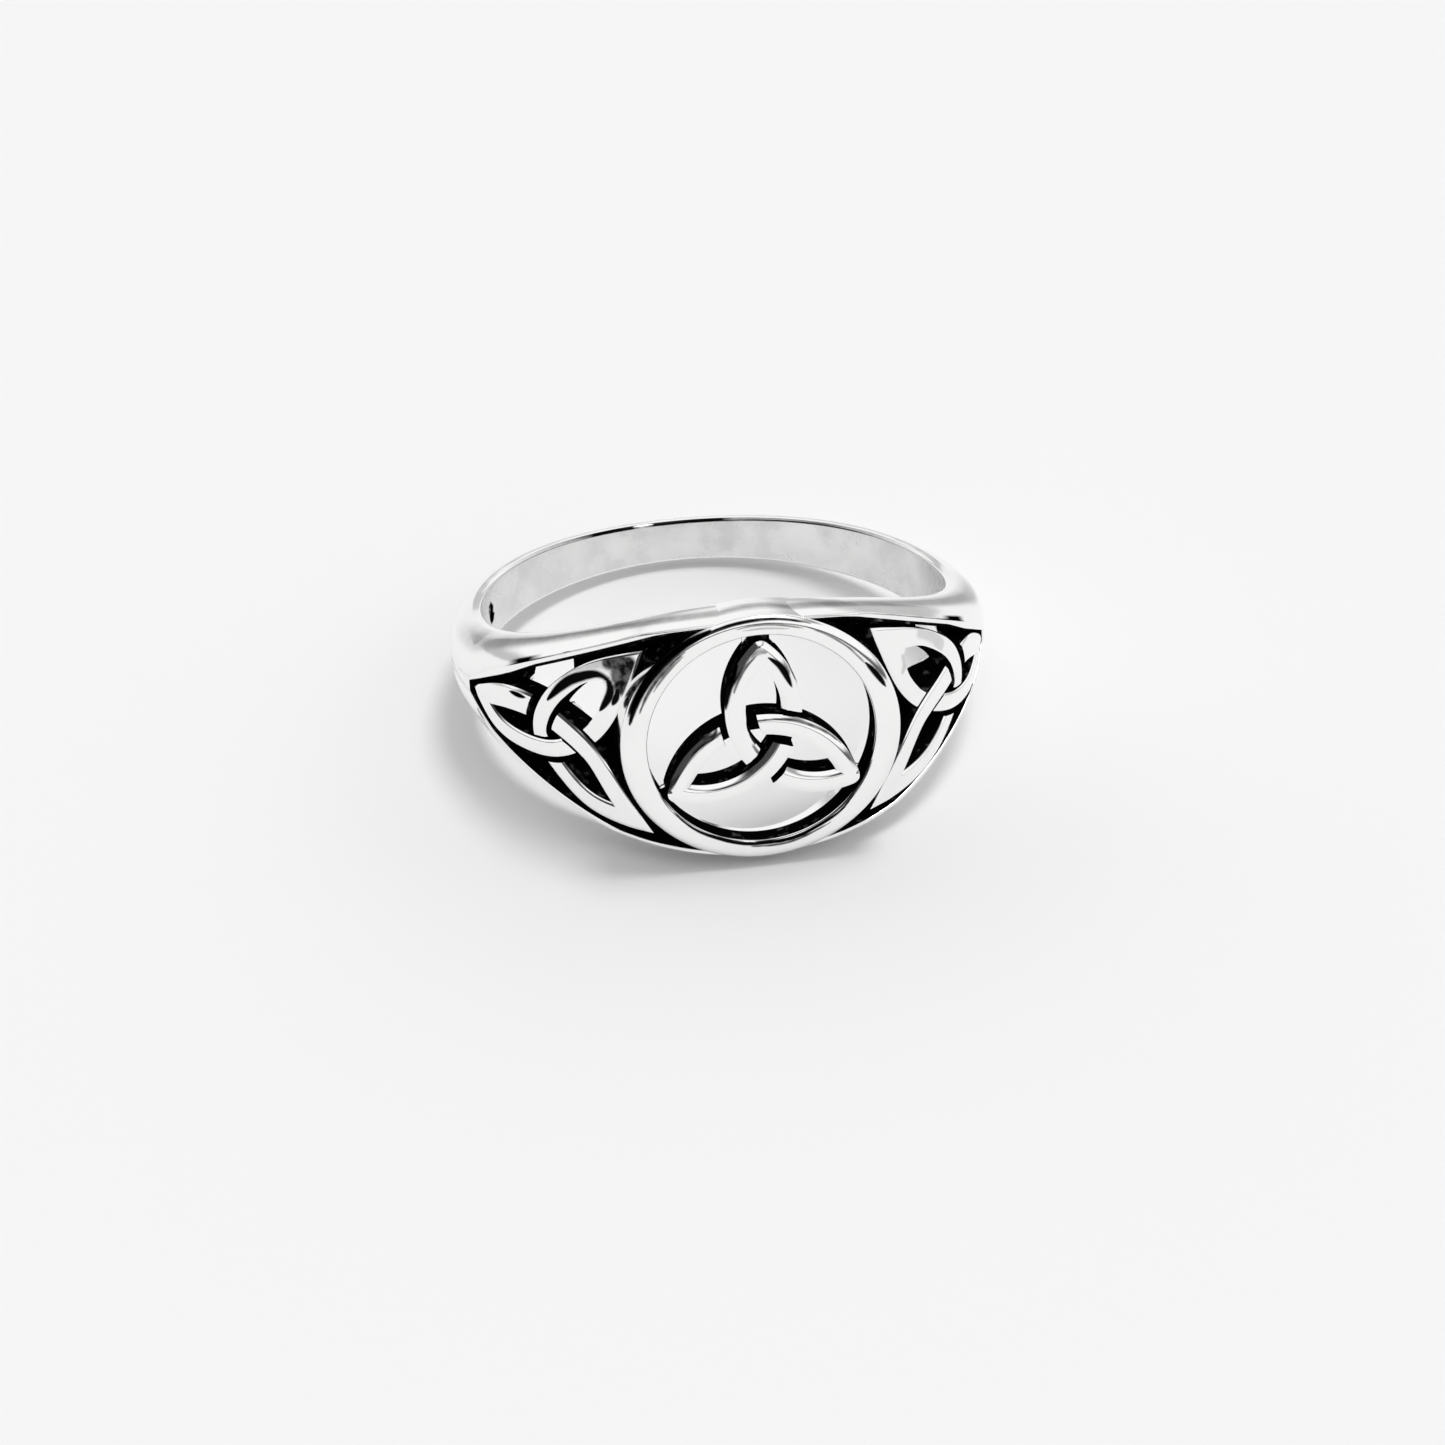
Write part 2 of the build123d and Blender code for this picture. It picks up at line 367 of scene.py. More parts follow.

# Tarnish along the finger hole's upper edge, and a painted dark reflection streak along the upper
# flank: angle from the bezel to the left in degrees, strength. Then the streak's share of the way up the
# flank.
EDGE_TARNISH = [
    (120, 0.0), (140, 0.4), (152, 0.6), (157, 1.1), (167, 1.1), (170, 0.3), (174, 1.1), (190, 1.1),
    (195, 0.6), (235, 0.5), (255, 0.0),
]
FLANK_REFLECTION_STREAK = [(-90, 0.0), (-65, 0.38), (0, 0.45), (60, 0.38), (90, 0.0)]
REFLECTION_STREAK_PROFILE = [(0.10, 0.0), (0.20, 1.0), (0.42, 1.0), (0.58, 0.0)]

# Points of a section, counted from the gap's foot: across the finger hole, round its edge, round
# the side's edge, up the flank, then the groove and the ridge, counted from the end
bore_columns = 6
bore_edge_steps = 5
side_edge_steps = 4
flank_steps = 18
edge_columns = range(bore_columns + 1, bore_columns + bore_edge_steps)
flank_start = bore_columns + bore_edge_steps + side_edge_steps + 2
flank_skip = 3
groove_columns = (-9, -8)
wide_groove_columns = (-11, -10)
ridge_columns = 4
crest_steps = 2
wall_steps = 5
row_step = 0.8

# The most that a rounded corner takes of the shorter side beside it
corner_reach = 0.45


def smooth_through(places, values, wanted):
    """Values at the wanted places, on a natural cubic curve through the given ones."""
    places, values, wanted = (np.asarray(numbers, float).T for numbers in (places, values, wanted))
    steps = np.diff(places)
    slopes = np.diff(values) / steps
    matrix = np.eye(len(places))
    right = np.zeros_like(values)
    for i in range(1, len(steps)):
        matrix[i, i - 1:i + 2] = (steps[i - 1], 2 * (steps[i - 1] + steps[i]), steps[i])
        right[..., i] = 6 * (slopes[..., i] - slopes[..., i - 1])
    bends = np.linalg.solve(matrix, right.T).T
    left = np.clip(np.searchsorted(places, wanted, side="right") - 1, 0, len(steps) - 1)
    to_right = (wanted - places[left]) / steps[left]
    to_left = 1 - to_right
    bend = (to_right**3 - to_right) * bends[..., left + 1] + (to_left**3 - to_left) * bends[..., left]
    straight = values[..., left] * to_left + values[..., left + 1] * to_right
    return (straight + bend * steps[left]**2 / 6).T


before = [(-angle, *shares) for angle, *shares in BAND_SECTIONS[2:0:-1]]
beyond = [(360 - angle, *shares) for angle, *shares in BAND_SECTIONS[-2:-4:-1]]
band_table = np.array(before + BAND_SECTIONS + beyond)


def band_size(angle):
    """Half width and outer radius of the band at an angle from the bezel in degrees."""
    shares = smooth_through(band_table[:, 0], band_table[:, 1:], np.abs(angle))
    half = back_half_width + (front_half_width - back_half_width) * shares[..., 0]
    return half, back_radius + (shoulder_radius - back_radius) * shares[..., 1]


def border_height(along):
    """Half height of a shoulder's gap at a distance from its tip."""
    share = along / panel_length
    straight = panel_tip_half_height + (panel_half_height - panel_tip_half_height) * share
    return straight + 4 * panel_bow * share * (1 - share)


def corner(before, at, after, radius, count):
    """Points round a corner of a flat outline, from the side before it to the side after."""
    first = (before - at).normalized()
    last = (after - at).normalized()
    half = first.angle(last) / 2
    longest = corner_reach * min((before - at).length, (after - at).length)
    radius = min(radius, longest * math.tan(half))
    start = at + first * (radius / math.tan(half))
    end = at + last * (radius / math.tan(half))
    middle = at + (first + last).normalized() * (radius / math.sin(half))
    points = []
    for i in range(count + 1):
        way = start.lerp(end, i / count) - middle
        points.append(middle + way.normalized() * radius)
    return points


def from_gap_tip(angle):
    """Distance from the gap's tip, on the flat pattern, of a section of the band."""
    return band_size(angle)[1] * math.sin(math.radians(panel_angle - abs(angle))) - panel_tip


def band_section(angle, lowered, ridge_width):
    """Outline of the band's upper half at one angle, from the gap's foot round to its ridge."""
    half, outer = band_size(angle)
    along = from_gap_tip(angle)
    shown = min(max(along / ridge_fade + 1, least_shown), 1)
    grown = min(max(along, 0) / lowered_from, 1)
    gap = panel_tip_half_height * (closed_share + (1 - closed_share) * shown)
    if along > 0:
        gap = border_height(along)
    gap = min(gap + lowered * grown, half - least_rail)
    crest = min(gap + least_ridge + (ridge_width - least_ridge) * grown, half - edge_wall / 4)
    side_top = Vector((bore_radius + edge_wall, half))
    crest_top = Vector((outer, crest))
    chord = crest_top - side_top
    bulge = Vector((chord.y, -chord.x)).normalized() * -crown_share * (half - crest)
    flank = []
    for i in range(flank_skip, flank_steps):
        share = i / flank_steps
        flank.append(side_top + chord * share + bulge * 4 * share * (1 - share))
    bore_edge = Vector((bore_radius, half))
    foot = Vector((bore_radius, gap))
    groove = crest_top + Vector((-groove_depth * shown, groove_width))
    ridge = Vector((outer, gap))
    black = ridge_black * min(max((along - ridge_black_from) / ridge_black_growth, least_black), 1)
    black = min(black, ridge_black_share * (crest - gap))
    points = [foot.lerp(bore_edge, i / bore_columns) for i in range(bore_columns)]
    points += corner(foot, bore_edge, side_top, bore_edge_round, bore_edge_steps)
    points += corner(bore_edge, side_top, flank[0], side_edge_round, side_edge_steps)
    points += flank + [groove]
    points += corner(groove, crest_top, ridge, ridge_round, crest_steps)
    points.append(Vector((outer, gap + black)))
    points += corner(crest_top, ridge, foot, ridge_edge_round, ridge_columns - 1)
    return points


def strength_at(place, marks):
    """How strong a mark of tarnish and painted shade is at a place, between the places that it is given
    for.
    """
    return np.interp(place, *zip(*marks), left=0.0, right=0.0)


def add_strip(one, other, black_from=math.inf, satin_count=0):
    """Faces between two rows of points, the first ones satin and the last ones black."""
    for i in range(len(one) - 1):
        slots.append(1 if i >= black_from else 2 if i < satin_count else 0)
        faces.append((one[i], one[i + 1], other[i + 1], other[i]))


back_angle = 360 - panel_tip_angle
pierced = list(np.linspace(-panel_tip_angle, panel_tip_angle, int(2 * panel_tip_angle / row_step) + 1))
closed = list(np.linspace(panel_tip_angle, back_angle, int((360 - 2 * panel_tip_angle) / row_step)))
last_pierced = len(pierced) - 1
points = []
faces = []
slots = []
band_tarnish_and_shade = []
rows = []
for angle in pierced + closed[1:-1]:
    turned = math.radians(angle)
    signed = angle if angle <= 180 else angle - 360
    along = from_gap_tip(signed) if abs(signed) < 90 else 0.0
    row = {"along": along}
    for name, side, lowered, ridge_width in (
        ("upper", 1, 0.0, upper_ridge_width), ("lower", -1, lower_border_drop, lower_ridge_width),
    ):
        outline = band_section(signed, lowered, ridge_width)
        wall_start = len(outline) - 1
        outline += [outline[-1].lerp(outline[0], i / wall_steps) for i in range(1, wall_steps)]
        first = len(points)
        for radius, height in outline:
            points.append((-radius * math.sin(turned), -radius * math.cos(turned), side * height))
        row[name] = [*range(first, len(points)), first]
        band_tarnish_and_shade += [0.0] * len(outline)
    for columns, place, marks in (
        (groove_columns, along, GROOVE_TARNISH),
        (wide_groove_columns, along, WIDE_GROOVE_TARNISH),
        (edge_columns, angle % 360, EDGE_TARNISH),
    ):
        for column in columns:
            band_tarnish_and_shade[row["upper"][column % (wall_start + 1)]] = strength_at(place, marks)
    # A painted dark reflection streak along the upper flank
    for k in range(flank_steps // 2):
        painted_streak = strength_at((k + flank_skip) / flank_steps, REFLECTION_STREAK_PROFILE)
        band_tarnish_and_shade[row["upper"][flank_start + k]] = strength_at(signed, FLANK_REFLECTION_STREAK) * painted_streak
    rows.append(row)

for i, row in enumerate(rows):
    following = rows[(i + 1) % len(rows)]
    for name in ("upper", "lower"):
        is_black = name == "upper" and row["along"] > ridge_black_from
        black_from = wall_start - ridge_columns * is_black
        end = None if i < last_pierced else wall_start + 1
        add_strip(row[name][:end], following[name][:end], black_from, bore_columns)
    if i >= last_pierced:
        for column, satin_count in ((0, 1), (wall_start, 0)):
            halves = [[r["upper"][column], r["lower"][column]] for r in (row, following)]
            add_strip(*halves, satin_count=satin_count)
for row in (rows[0], rows[last_pierced]):
    add_strip(row["upper"][wall_start:], row["lower"][wall_start:], black_from=0)
cast_piece("band", points, faces, slots, (polished, blackened, satin), band_tarnish_and_shade)


# Bezel rim: the raised collar of the casting that frames the middle knot, an upright oval wall
# from the finger hole to its flat polished top. Its outer edge is rounded, and its inner edge
# has a small bevel.
bezel_top = bore_radius + 1.77
bezel_half_width = 5.10
bezel_half_height = 4.79
rim_width = 0.95
rim_height = 0.72
rim_round = 0.42
rim_round_depth = 0.25
window_half_width = bezel_half_width - rim_width
window_half_height = bezel_half_height - rim_height
window_bevel = 0.13
knot_depth = 1.15
lower_wall_rise = 0.30
hollow_margin = 0.35
gap_margin = 0.2
least_wall = 0.01
rim_steps = 480
round_steps = 16
wall_rows = 16
window_rows = 6
hollow_rows = 3
line_steps = 399

# How far in from the outer edge, as a share of the rim, and how far below the flat top in mm
rim_profile = []
for i in range(round_steps, -1, -1):
    turned = math.radians(90 * i / round_steps)
    share = (1 - math.sin(turned)) * rim_round / rim_width
    rim_profile.append((share, (1 - math.cos(turned)) * rim_round_depth))
rim_profile += [(share, 0.0) for share in (0.48, 0.52, 0.56, 0.60, 0.64, 0.68, 0.72, 0.76, 0.80)]
rim_profile += [(0.84, 0.004), (0.87, 0.008), (0.90, 0.012), (0.92, 0.018), (0.94, 0.025), (0.97, 0.045)]
rim_profile += [(0.99, 0.08), (1.0, window_bevel)]

# Dark marks on the rim: strength, half width, and places as the angle in degrees from the right
# round over the top and the share of the way from the rim's outer edge to its inner edge
RIM_MARKS = [
    (1.10, 0.17, [(166, 0.22), (156, 0.20), (146, 0.16), (134, 0.14), (122, 0.14), (110, 0.12)]),
    (0.90, 0.08, [(160, 0.46), (150, 0.44), (138, 0.42), (124, 0.38)]),
    (0.75, 0.06, [(148, 0.60), (138, 0.56), (126, 0.50)]),
    (1.00, 0.05, [(114, 0.15), (104, 0.16), (92, 0.17), (80, 0.16), (68, 0.15)]),
    (0.70, 0.05, [(101, 0.46), (93, 0.42), (84, 0.42), (70, 0.45)]),
    (0.45, 0.04, [(98, 0.60), (88, 0.62), (76, 0.60)]),
    (0.80, 0.04, [(70, 0.32), (56, 0.40), (44, 0.44), (34, 0.46)]),
    (1.20, 0.11, [(36, 0.42), (29, 0.36), (21, 0.28)]),
    (1.20, 0.07, [(218, 0.95), (232, 0.90), (246, 0.92), (260, 0.88), (272, 0.90), (284, 0.84), (298, 0.90),
                  (310, 0.86), (324, 0.95)]),
    (0.90, 0.05, [(262, 0.74), (272, 0.72), (284, 0.70), (294, 0.74), (304, 0.70)]),
]

# The marks lie on the rim's top and end this far below it. Every mark is laid out in small steps,
# with a soft edge between these shares of its half width. To both ends it tapers like a sine.
mark_depth = 0.3
mark_step = 0.03
mark_edge = (0.6, 1.3)
taper_margin = 0.08
taper_power = 0.6

# The band's painted reflection streak runs on over the upper wall, from the first height to the second
reflection_streak_heights = (3.9, 4.3)
outer_wall_from = 0.99
below_round = 0.02


def rim_place(angle, share):
    """A point of the rim's top: its angle in degrees, and its share of the way inwards."""
    turned = math.radians(angle)
    width = bezel_half_width - rim_width * share
    height = bezel_half_height - rim_height * share
    return width * math.cos(turned), height * math.sin(turned)


def size(vectors):
    """The lengths of vectors."""
    return np.linalg.norm(vectors, axis=-1)


def read_along(line, reach, wanted):
    """Points of a line at wanted distances, where reach gives each of its points' distance."""
    return np.stack([np.interp(wanted, reach, line[:, axis]) for axis in (0, 1)], axis=1)


def smooth_line(points, step):
    """Points at an even step along a smooth line through a few given ones."""
    points = np.asarray(points, float)
    lengths = np.concatenate([[0], np.cumsum(size(np.diff(points, axis=0)))])
    fine = smooth_through(lengths, points, np.linspace(0, lengths[-1], line_steps + 1))
    reach = np.concatenate([[0], np.cumsum(size(np.diff(fine, axis=0)))])
    return read_along(fine, reach, np.linspace(0, reach[-1], max(2, round(reach[-1] / step)) + 1))


def ease(low, high, values):
    """A smooth step from 0 at low to 1 at high."""
    share = np.clip((values - low) / (high - low), 0, 1)
    return share * share * (3 - 2 * share)


def distance_to(line, points, scale=1.0):
    """Distance of each point to the nearest point of a line, over a scale that may vary along it."""
    flat = points.reshape(-1, 2)
    gaps = size(flat[:, None] - line[None]) / scale
    return gaps.min(axis=1).reshape(points.shape[:-1])


def tarnish_and_shade_along(points, marks, edge=0.0):
    """How much tarnish and painted shade each point has. A mark is its strength, its half width and a
    line of points. It tapers to both ends, and a soft one doesn't but keeps off a strand's edge."""
    amount = np.zeros(points.shape[:-1])
    for strength, half_width, places, *soft in marks:
        line = smooth_line(places, mark_step)
        turned = np.linspace(taper_margin, math.pi - taper_margin, len(line))
        taper = 1.0 if soft else np.sin(turned)**taper_power
        near = distance_to(line, points, half_width * taper)
        shade = strength * (1 - ease(*mark_edge, near))
        amount = np.maximum(amount, shade * (1 - edge) if soft else shade)
    return amount


points = []
faces = []
slots = []
wall_top = rim_round_depth - bezel_top
for i in range(rim_steps):
    turned = 2 * math.pi * i / rim_steps
    way = Vector((math.cos(turned), math.sin(turned)))
    outer_edge = way * Vector((bezel_half_width, bezel_half_height))
    inner_edge = way * Vector((window_half_width, window_half_height))
    back_edge = way * Vector((window_half_width + hollow_margin, window_half_height + hollow_margin))
    outer_foot = -math.sqrt(bore_radius**2 - outer_edge.x**2)
    back_foot = -math.sqrt(bore_radius**2 - back_edge.x**2)
    seat = max(-math.sqrt(shoulder_radius**2 - outer_edge.x**2), wall_top + least_wall)
    depth = knot_depth - lower_wall_rise * max(-math.sin(turned), 0)**2
    window_foot = depth - bezel_top
    column = []
    for start, end in ((outer_foot, seat), (seat, wall_top)):
        column += [(outer_edge, start + (end - start) * 2 * k / wall_rows) for k in range(wall_rows // 2)]
    for share, drop in rim_profile:
        column.append((outer_edge.lerp(inner_edge, share), drop - bezel_top))
    for k in range(1, window_rows + 1):
        column.append((inner_edge, window_foot - (depth - window_bevel) * (1 - k / window_rows)))
    for k in range(hollow_rows + 1):
        column.append((back_edge, window_foot + (back_foot - window_foot) * k / hollow_rows))
    points += [(spot.x, height, spot.y) for spot, height in column]

count = len(column)
window_start = wall_rows + len(rim_profile) - 1
window_wall = range(window_start, window_start + window_rows + 1)
for i in range(rim_steps):
    here = i * count
    there = (i + 1) % rim_steps * count
    seat_x, _, seat_z = points[here + wall_rows // 2]
    seat_angle = math.degrees(math.asin(abs(seat_x) / shoulder_radius))
    in_gap = abs(seat_z) < band_size(seat_angle)[0] - gap_margin
    for k in range(count):
        slots.append(1 if k in window_wall or k < wall_rows // 2 and in_gap else 0)
        after = (k + 1) % count
        faces.append((here + k, here + after, there + after, there + k))

places = np.array(points)
marks = [(strength, half, [rim_place(*spot) for spot in spots]) for strength, half, spots in RIM_MARKS]
rim_tarnish_and_shade = tarnish_and_shade_along(places[:, (0, 2)], marks) * (places[:, 1] < mark_depth - bezel_top)
up_flank = (-places[:, 1] - bore_radius - edge_wall) / (shoulder_radius - bore_radius - edge_wall)
outwards = np.hypot(places[:, 0] / bezel_half_width, places[:, 2] / bezel_half_height)
on_wall = (outwards > outer_wall_from) * (places[:, 1] > rim_round_depth - bezel_top + below_round)
# The flank's painted reflection streak, carried on over the rim's outer wall
painted_streak = strength_at(0, FLANK_REFLECTION_STREAK) * strength_at(up_flank, REFLECTION_STREAK_PROFILE)
rim_tarnish_and_shade += painted_streak * ease(*reflection_streak_heights, places[:, 2]) * on_wall
cast_piece("bezel_rim", points, faces, slots, (polished, blackened), rim_tarnish_and_shade)


# Middle knot: three arcs of flat silver, tip to tip, that weave over and under round the bezel's
# window. Their edges are bevelled, and they are cast on to the rim by three dark bridges below
# their tips.
knot_strand_width = 0.74
under_bevel = 0.25
bridge_widths = (1.15, 0.62, 0.62)
bridge_sunk = 0.45
bridge_depth = 0.60
bridge_length = 0.95
bridge_bevel = {"Bevel Drop": 0.25, "Bevel From": 0.0}
knot_seat = {"Top Radius": bezel_top, "Round The Finger": False}
knot_bevel = {"Bevel Drop": 0.17, "Bevel From": 0.35}

# Where a strand passes under another: the dark slot, the dip beside it, and how far they reach
slot_depth = 0.55
slot_wall = 0.015
slot_steps = 4
crossing_dip = 0.04
crossing_fade = 0.5
crossing_reach = 1.7
dip_reach = 1.1

# How finely strands and bridges are laid out, and how near to each other points are merged
strand_step = 0.05
strand_columns = 25
fan_steps = 7
fine_steps = 499
bridge_columns = 13
bridge_steps = 16
strand_merge = 0.0005
raised_merge = 0.0002

# Round a tip: how near to each other two tips are one, how far from it strands can cross, where
# its wider inner side fades out, and how far a bridge starts inside it
same_tip = 0.1
tip_reach = 1.0
fill_reach = (0.3, 2.4)
bridge_overlap = 0.3

# Where the soft painted shade on a strand gives way to its bright edge, from its middle at 0 to 1
bright_edge = (0.74, 0.86)

# How far a bevelled edge has dropped at a share of its width, both from 0 to 1
BEVEL_PROFILE = [(0.0, 0.0), (0.18, 0.05), (0.55, 0.38), (0.85, 0.78), (1.0, 1.0)]

# Direction of each arc's centre in degrees, its distance and its radius as shares of the window
KNOT_ARCS = [(28.3, 0.594, 0.749), (-89.4, 0.655, 0.790), (151.3, 0.547, 0.747)]

# Gaps before and after the strand that passes over, in mm
KNOT_GAPS = [(0.28, 0.26), (0.40, 0.26), (0.36, 0.26)]

# Tarnish and painted shade on the middle knot: strength, half width, and places in mm from the bezel's
# middle
KNOT_MARKS = [
    (1.20, 0.12, [(0.30, 3.20), (0.65, 2.90), (0.90, 2.50), (1.10, 2.00)]),
    (1.10, 0.10, [(-1.28, 1.30), (-1.18, 1.90), (-1.02, 2.45), (-0.80, 2.95)]),
    (0.85, 0.07, [(-0.98, 1.95), (-0.80, 2.45), (-0.50, 2.95), (-0.15, 3.30)]),
    (0.60, 0.10, [(-0.30, 3.25), (0.0, 3.45), (0.25, 3.40)]),
    (0.85, 0.05, [(0.05, 0.78), (0.90, 0.70), (1.70, 0.42), (2.40, -0.02), (2.90, -0.50)]),
    (1.10, 0.13, [(-2.90, -0.35), (-2.50, 0.10), (-2.10, 0.42), (-1.70, 0.60)]),
    (0.85, 0.05, [(-2.60, -0.35), (-2.10, 0.05), (-1.60, 0.30)]),
    (0.85, 0.06, [(-1.90, 0.25), (-1.72, 0.35), (-1.62, 0.62)]),
]


def directions(line):
    """Unit directions along a line of points."""
    along = np.gradient(line, axis=0)
    return along / size(along)[:, None]


def leftwards(ways):
    """Each direction turned a quarter to the left."""
    return np.stack([-ways[..., 1], ways[..., 0]], axis=-1)


class Strand:
    """A flat strand along a line, joined to the next strands at its two tips.

    widths are spread evenly along it. inward holds, for each tip, the direction from it to between
    the two strands that meet there, sharpness how pointed it is outside, from 0 to 1, and fill how
    much wider the strand gets on its inner side there."""

    def __init__(self, line, widths, inward, sharpness, fill):
        self.across = np.linspace(-1, 1, strand_columns)
        self.line = line
        self.along = directions(line)
        self.reach = np.linspace(0, size(np.diff(line, axis=0)).sum(), len(line))
        self.widths = smooth_through(np.linspace(0, self.reach[-1], len(widths)), widths, self.reach)
        self.fill = fill
        self.fans = [[], []]
        self.inner = [0, 0]
        self.ends = [np.zeros(strand_columns), np.full(strand_columns, self.reach[-1])]
        for end in (0, 1):
            self.join_tip(end, inward[end], sharpness[end])

    def join_tip(self, end, inward, sharpness):
        """Shorten the strand's inner side at a tip, and add a fan of rows round its outer side."""
        tip = self.line[-end]
        way = self.along[-end]
        away = -way if end else way
        width = self.widths[-end]
        left = leftwards(way)
        self.inner[end] = math.copysign(1, left @ inward)
        half = math.acos(np.clip(away @ inward, -1, 1))
        inside = self.across * self.inner[end] > 0
        widened = width / 2 * (1 + self.fill[end])
        shift = np.where(inside, np.abs(self.across) * widened / math.tan(half), 0)
        self.ends[end] += -shift if end else shift
        middle = np.outer(np.abs(self.across) * widened / math.sin(half), inward)
        for k in range(fan_steps):
            turned = (math.pi / 2 - half) * (1 - k / fan_steps)
            spread = (1 - sharpness) + sharpness / math.cos(turned)
            outward = -self.inner[end] * left * math.cos(turned) - away * math.sin(turned)
            beside = np.outer(np.abs(self.across) * width / 2 * spread, outward)
            self.fans[end].append(tip + np.where(inside[:, None], middle, beside))

    def points(self, shares):
        """Points of the strand, a row for each share of its length (one number, or one a column)."""
        rows = []
        for share in shares:
            at = self.ends[0] + (self.ends[1] - self.ends[0]) * share
            centre = read_along(self.line, self.reach, at)
            way = read_along(self.along, self.reach, at)
            half = np.interp(at, self.reach, self.widths) / 2
            for end, from_tip in ((0, at), (1, self.reach[-1] - at)):
                inside = self.across * self.inner[end] > 0
                half = half * (1 + np.where(inside, self.fill[end] * (1 - ease(*fill_reach, from_tip)), 0))
            side = leftwards(way) / size(way)[:, None]
            rows.append(centre + side * (self.across * half)[:, None])
        return np.array(rows)

    def beyond(self, points):
        """How far each point lies outside the strand's edge."""
        gaps = size(points[..., None, :] - self.line)
        return gaps.min(axis=-1) - self.widths[gaps.argmin(axis=-1)] / 2

    def rows(self, over, gaps):
        """All rows of the strand, and which of them lie in the slot under the strand over it.

        gaps are the widths of the dark gap before and after the strand over it."""
        shares = np.linspace(0, 1, fine_steps + 1)
        grid = self.points(shares)
        from_tips = np.minimum(size(self.line - self.line[0]), size(self.line - self.line[-1]))
        gaps_between = np.where(from_tips > tip_reach, distance_to(over.line, self.line), math.inf)
        where = self.line[gaps_between.argmin()]
        crossing = size(grid[:, strand_columns // 2] - where).argmin() / fine_steps
        gap = np.where(shares < crossing, gaps[0], gaps[1])
        under = over.beyond(grid) < gap[:, None]
        under &= size(grid - where) < crossing_reach
        first = shares[under.argmax(axis=0)]
        last = shares[len(shares) - 1 - under[::-1].argmax(axis=0)]
        wall = slot_wall / self.reach[-1]
        before = max(3, round(first.mean() * self.reach[-1] / strand_step))
        after = max(3, round((1 - last.mean()) * self.reach[-1] / strand_step))
        parts = [first * k / before for k in range(before + 1)]
        parts += [first + wall + (last - first - 2 * wall) * k / slot_steps for k in range(slot_steps + 1)]
        parts += [last + (1 - last) * k / after for k in range(after + 1)]
        grid = np.concatenate([self.fans[0], self.points(parts), self.fans[1][::-1]])
        slot_start = fan_steps + before + 1
        in_slot = np.zeros((len(grid), 1), bool)
        in_slot[slot_start:slot_start + slot_steps + 1] = True
        dip = crossing_dip * np.exp(-np.clip(over.beyond(grid) - min(gaps), 0, None) / crossing_fade)
        dip *= 1 - ease(dip_reach, crossing_reach, size(grid - where))
        return grid, np.where(in_slot, slot_depth, dip), in_slot


def flat_mesh(name, pieces):
    """One flat mesh of several grids of points, each with its values for the node tree by name."""
    vertices = []
    faces = []
    values = {key: [] for key in ("across", "sunk", "dark", "depth", "bevel", "tarnish_and_shade")}
    for piece in pieces:
        grid = piece["points"]
        first = len(vertices)
        row_count, column_count = grid.shape[:2]
        vertices += [(x, y, 0) for x, y in grid.reshape(-1, 2)]
        for i in range(row_count - 1):
            for k in range(column_count - 1):
                at = first + i * column_count + k
                faces.append((at, at + 1, at + column_count + 1, at + column_count))
        for key, numbers in values.items():
            given = np.broadcast_to(piece.get(key, 0.0), (row_count, column_count))
            numbers += list(given.ravel().astype(float))
    mesh = bpy.data.meshes.new(name)
    mesh.from_pydata(vertices, [], faces)
    for key, numbers in values.items():
        mesh.attributes.new(key, "FLOAT", "POINT").data.foreach_set("value", numbers)
    work = bmesh.new()
    work.from_mesh(mesh)
    bmesh.ops.remove_doubles(work, verts=work.verts, dist=strand_merge)
    for face in work.faces:
        face.normal_update()
        if face.normal.z < 0:
            face.normal_flip()
    work.to_mesh(mesh)
    work.free()
    return mesh


# The node tree raises flat strands to their thickness and seats them on the ring
strand_tree = bpy.data.node_groups.new("raise_strands", "GeometryNodeTree")
for name, kind in (
    ("Geometry", "Geometry"), ("Bevel Drop", "Float"), ("Bevel From", "Float"), ("Top Radius", "Float"),
    ("Round The Finger", "Bool"), ("Polished", "Material"), ("Blackened", "Material"),
):
    strand_tree.interface.new_socket(name, in_out="INPUT", socket_type="NodeSocket" + kind)
strand_tree.interface.new_socket("Geometry", in_out="OUTPUT", socket_type="NodeSocketGeometry")


def step(kind, values=None, **settings):
    """A node of the strands' tree."""
    return add_node(strand_tree, kind, values, **settings)


def number(name):
    """The number that each point of the strands carries under a name."""
    return step("GeometryNodeInputNamedAttribute", {"Name": name})


def work_out(operation, *values):
    """The result of one step of arithmetic."""
    return step("ShaderNodeMath", dict(enumerate(values)), operation=operation)


def either(switch, no, yes):
    """One number or the other, by a switch."""
    values = {"Switch": switch, "False": no, "True": yes}
    return step("GeometryNodeSwitch", values, input_type="FLOAT")


def change(kind, geometry, **values):
    """The geometry after one change."""
    return step("GeometryNode" + kind, {"Geometry": geometry, **values})


def move_up(geometry, height):
    """The geometry moved up off its flat plane."""
    return change("SetPosition", geometry, Offset=step("ShaderNodeCombineXYZ", {2: height}))


given = step("NodeGroupInput").outputs
raised = step("GeometryNodeExtrudeMesh", {
    "Mesh": given["Geometry"], "Offset Scale": 0.0, "Individual": False,
})
